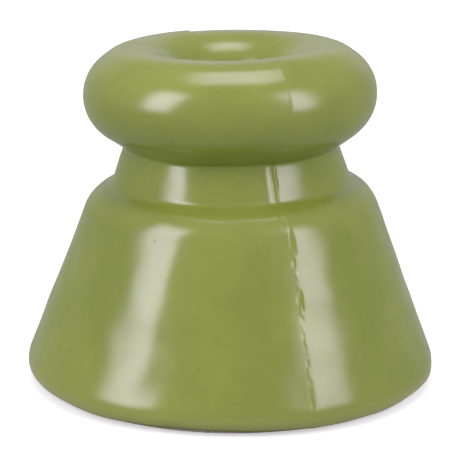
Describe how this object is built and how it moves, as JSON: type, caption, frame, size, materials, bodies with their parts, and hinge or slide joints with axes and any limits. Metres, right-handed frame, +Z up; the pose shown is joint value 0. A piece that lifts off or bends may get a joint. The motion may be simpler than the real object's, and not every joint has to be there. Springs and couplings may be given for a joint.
{
  "type": "fence insulator",
  "caption": "Glazed porcelain knob insulator for a fence wire: ring head over a wire groove, rounded shoulder, conical skirt, and a central screw bore with a funnel mouth.",
  "frame": {"origin": "middle of the bare foot ring, where the knob stands on the post", "axes": "+Z up along the screw bore, from the foot to the head; X and Y are alike, apart from a faint mould seam"},
  "size_m": [0.04, 0.04, 0.0329],
  "materials": {
    "bare_porcelain": "matte, unglazed fired clay",
    "green_glaze": "satin-gloss opaque glaze, olive green"
  },
  "bodies": {
    "root": {"porcelain_body": "bare_porcelain", "glaze_coat": "green_glaze"}
  },
  "joints": []
}
